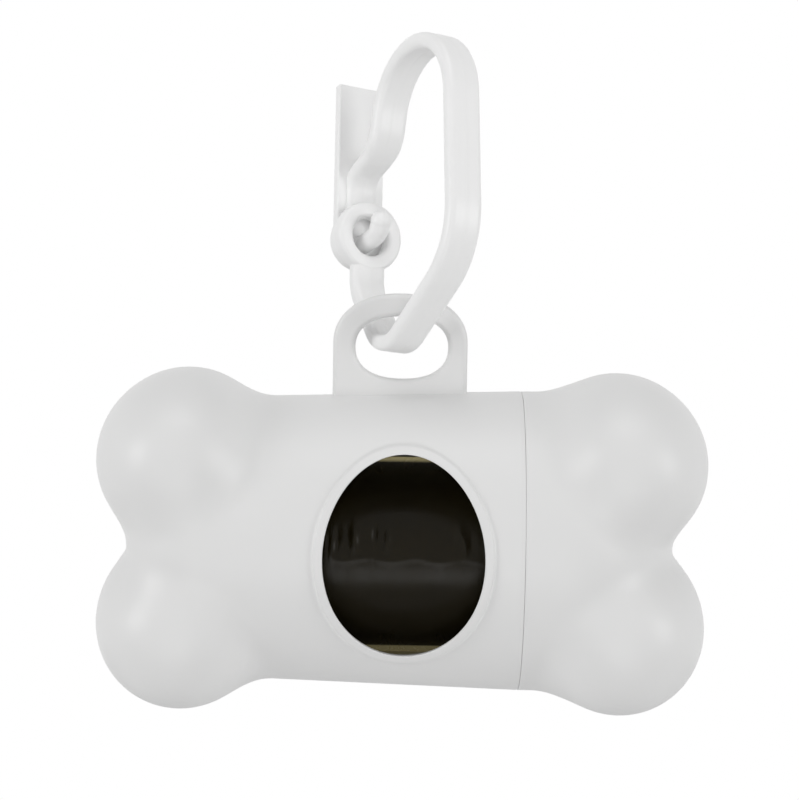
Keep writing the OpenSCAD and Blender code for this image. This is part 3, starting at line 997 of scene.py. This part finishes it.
class DISPENSER_OT_clip(bpy.types.Operator):
    """Make the leash clip: the loop with its ring, the bend and the arm"""

    bl_idname = "dispenser.clip"
    bl_label = "Clip"

    def execute(self, context):
        s, c = context.scene.dispenser_clip, context.scene.dispenser_colours
        white = plastic("clip_white", c.clip, 0.36, 1200, 0.1)
        loop = loop_skin(s).object("clip_band", white, recalc=True)
        bend = flex_skin(s).object("clip_bend", white, recalc=True)
        lever = lever_skin(s).object("clip_lever", white, recalc=True)
        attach(loop, "clip")
        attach(lever, "arm")
        h = FLEX_AT[2]
        along = (-1.0, 1.4)  # how far before and after the hinge the bend starts and ends
        ends = [
            place(from_clip(FLEX_AT[0] + k * math.cos(h), FLEX_AT[1] + k * math.sin(h), 0.0)) for k in along
        ]
        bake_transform(bend)
        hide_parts("clip_loop")
        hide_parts("clip_arm")
        return {"FINISHED"}


class DISPENSER_OT_roll(bpy.types.Operator):
    """Make the roll of bags on its core, with the loose outer bag"""

    bl_idname = "dispenser.roll"
    bl_label = "Roll of bags"

    def execute(self, context):
        s, c = context.scene.dispenser_roll, context.scene.dispenser_colours
        board = plastic("core_board", c.board, 0.8, 700, 0.6)
        core = core_skin().object("board_core", board, recalc=True)
        dark = film_material("wound_film", c.bags, 0.42, 1.0, 0.3)
        wound = roll_skin(s).object("wound_bags", dark, recalc=True)
        # Painted light: the loose film turns to the Loose film colour and glows where it stands clear of the
        # roll
        olive = film_material("loose_film_painted_glow", c.bags, 0.24, 0.9, 0.16, c.film)
        loose = film_skin(s).object("loose_film", olive, recalc=True)
        made = (
            (core, "core_board", "roll_core"),
            (wound, "dark_bags", "bag_roll"),
            (loose, "film", "loose_bag"),
        )
        for piece, slot, node in made:
            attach(piece, "roll")
            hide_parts(node)
        return {"FINISHED"}


class DISPENSER_OT_stage(bpy.types.Operator):
    """Make the pale floor, the soft lamps and the camera"""

    bl_idname = "dispenser.stage"
    bl_label = "Stage"

    def execute(self, context):
        scene = context.scene
        scene.view_settings.view_transform = "Standard"
        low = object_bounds()[0].z
        mesh = bpy.data.meshes.new("studio_floor")
        z, half = low - FLOOR_DROP, FLOOR_HALF
        corners = [(-half, -half, z), (half, -half, z), (half, half, z), (-half, half, z)]
        mesh.from_pydata(corners, [], [(0, 1, 2, 3)])
        pale = bpy.data.materials.new("pale_floor")
        pale.use_nodes = True
        shader = pale.node_tree.nodes["Principled BSDF"]
        shader.inputs["Base Color"].default_value = [*scene.dispenser_colours.floor, 1]
        shader.inputs["Roughness"].default_value = 0.9
        shader.inputs["Specular IOR Level"].default_value = 0.1
        nodes, links = pale.node_tree.nodes, pale.node_tree.links
        path, glow = nodes.new("ShaderNodeLightPath"), nodes.new("ShaderNodeMath")
        glow.operation = "MULTIPLY"
        glow.inputs[1].default_value = FLOOR_GLOW
        shader.inputs["Emission Color"].default_value = (1, 1, 1, 1)
        links.new(path.outputs["Is Camera Ray"], glow.inputs[0])
        links.new(glow.outputs[0], shader.inputs["Emission Strength"])
        mesh.materials.append(pale)
        floor = bpy.data.objects.new("studio_floor", mesh)
        scene.collection.objects.link(floor)
        floor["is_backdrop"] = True

        world = bpy.data.worlds.new("studio_world")
        scene.world = world
        world.use_nodes = True
        nodes, links = world.node_tree.nodes, world.node_tree.links
        nodes.clear()
        out, mix = nodes.new("ShaderNodeOutputWorld"), nodes.new("ShaderNodeMixShader")
        path = nodes.new("ShaderNodeLightPath")
        dim, white = nodes.new("ShaderNodeBackground"), nodes.new("ShaderNodeBackground")
        dim.inputs["Color"].default_value = (1, 1, 1, 1)
        dim.inputs["Strength"].default_value = 0.42
        white.inputs["Color"].default_value = (1, 1, 1, 1)
        white.inputs["Strength"].default_value = 1.0
        seen, clear = nodes.new("ShaderNodeMath"), nodes.new("ShaderNodeMath")
        seen.operation = clear.operation = "MAXIMUM"
        links.new(path.outputs["Is Camera Ray"], seen.inputs[0])
        links.new(path.outputs["Is Glossy Ray"], seen.inputs[1])
        links.new(seen.outputs[0], clear.inputs[0])
        links.new(path.outputs["Is Transmission Ray"], clear.inputs[1])
        links.new(clear.outputs[0], mix.inputs["Fac"])
        links.new(dim.outputs[0], mix.inputs[1])
        links.new(white.outputs[0], mix.inputs[2])
        links.new(mix.outputs[0], out.inputs["Surface"])

        centre = Vector(place([0, 0, 8]))
        lamps = (
            ("left_softbox", (-0.85, -0.45, 0.25), 0.5, 3.0),
            ("right_softbox", (0.85, -0.45, 0.2), 0.5, 2.6),
            ("top_softbox", (0.0, -0.2, 0.95), 0.6, 1.6),
            ("low_softbox", (0.0, -1.0, -0.3), 0.34, 0.9),
        )
        for name, offset, size, power in lamps:
            lamp = bpy.data.lights.new(name, "AREA")
            lamp.shape = "DISK"
            lamp.size = size
            lamp.energy = power
            hung = bpy.data.objects.new(name, lamp)
            hung.location = centre + Vector(offset)
            hung.rotation_euler = (-Vector(offset)).to_track_quat("-Z", "Y").to_euler()
            scene.collection.objects.link(hung)

        camera = bpy.data.cameras.new("photo_camera")
        camera.sensor_width = 36
        camera.lens = CAMERA_LENS
        camera.clip_start, camera.clip_end = 0.01, 20
        eye = bpy.data.objects.new("photo_camera", camera)
        eye.location = Vector(place(CAMERA_PLACE))
        aim = Euler((math.radians(90 - CAMERA_DOWN), 0, math.radians(CAMERA_TURN))).to_matrix()
        roll = Euler((0, 0, math.radians(CAMERA_ROLL))).to_matrix()
        eye.rotation_euler = (aim @ roll).to_euler()
        scene.collection.objects.link(eye)
        scene.camera = eye
        return {"FINISHED"}


class DISPENSER_PT_panel(bpy.types.Panel):
    """Lists the pieces of the dispenser"""

    bl_idname = "DISPENSER_PT_panel"
    bl_label = "Bone bag dispenser"
    bl_space_type = "VIEW_3D"
    bl_region_type = "UI"
    bl_category = "Dispenser"

    def draw(self, context):
        layout = self.layout
        for operator in PIECES:
            layout.operator(operator.bl_idname)
        for group in ("dispenser_case", "dispenser_clip", "dispenser_roll", "dispenser_colours"):
            box = layout.box()
            settings = getattr(context.scene, group)
            for key in settings.bl_rna.properties.keys():
                if key not in {"rna_type", "name"}:
                    box.prop(settings, key)


SETTINGS = {
    "dispenser_case": CaseSizes,
    "dispenser_clip": ClipSizes,
    "dispenser_roll": RollSizes,
    "dispenser_colours": DispenserColours,
}
PIECES = (DISPENSER_OT_case, DISPENSER_OT_cap, DISPENSER_OT_clip, DISPENSER_OT_roll, DISPENSER_OT_stage)


def register():
    for made in (*SETTINGS.values(), *PIECES, DISPENSER_PT_panel):
        bpy.utils.register_class(made)
    for name, group in SETTINGS.items():
        setattr(bpy.types.Scene, name, PointerProperty(type=group))


def unregister():
    for name in SETTINGS:
        delattr(bpy.types.Scene, name)
    for made in reversed((*SETTINGS.values(), *PIECES, DISPENSER_PT_panel)):
        bpy.utils.unregister_class(made)


def main():
    """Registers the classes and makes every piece."""
    register()
    bpy.ops.dispenser.case()
    bpy.ops.dispenser.cap()
    bpy.ops.dispenser.clip()
    bpy.ops.dispenser.roll()
    bpy.ops.dispenser.stage()


if __name__ == "__main__":
    main()
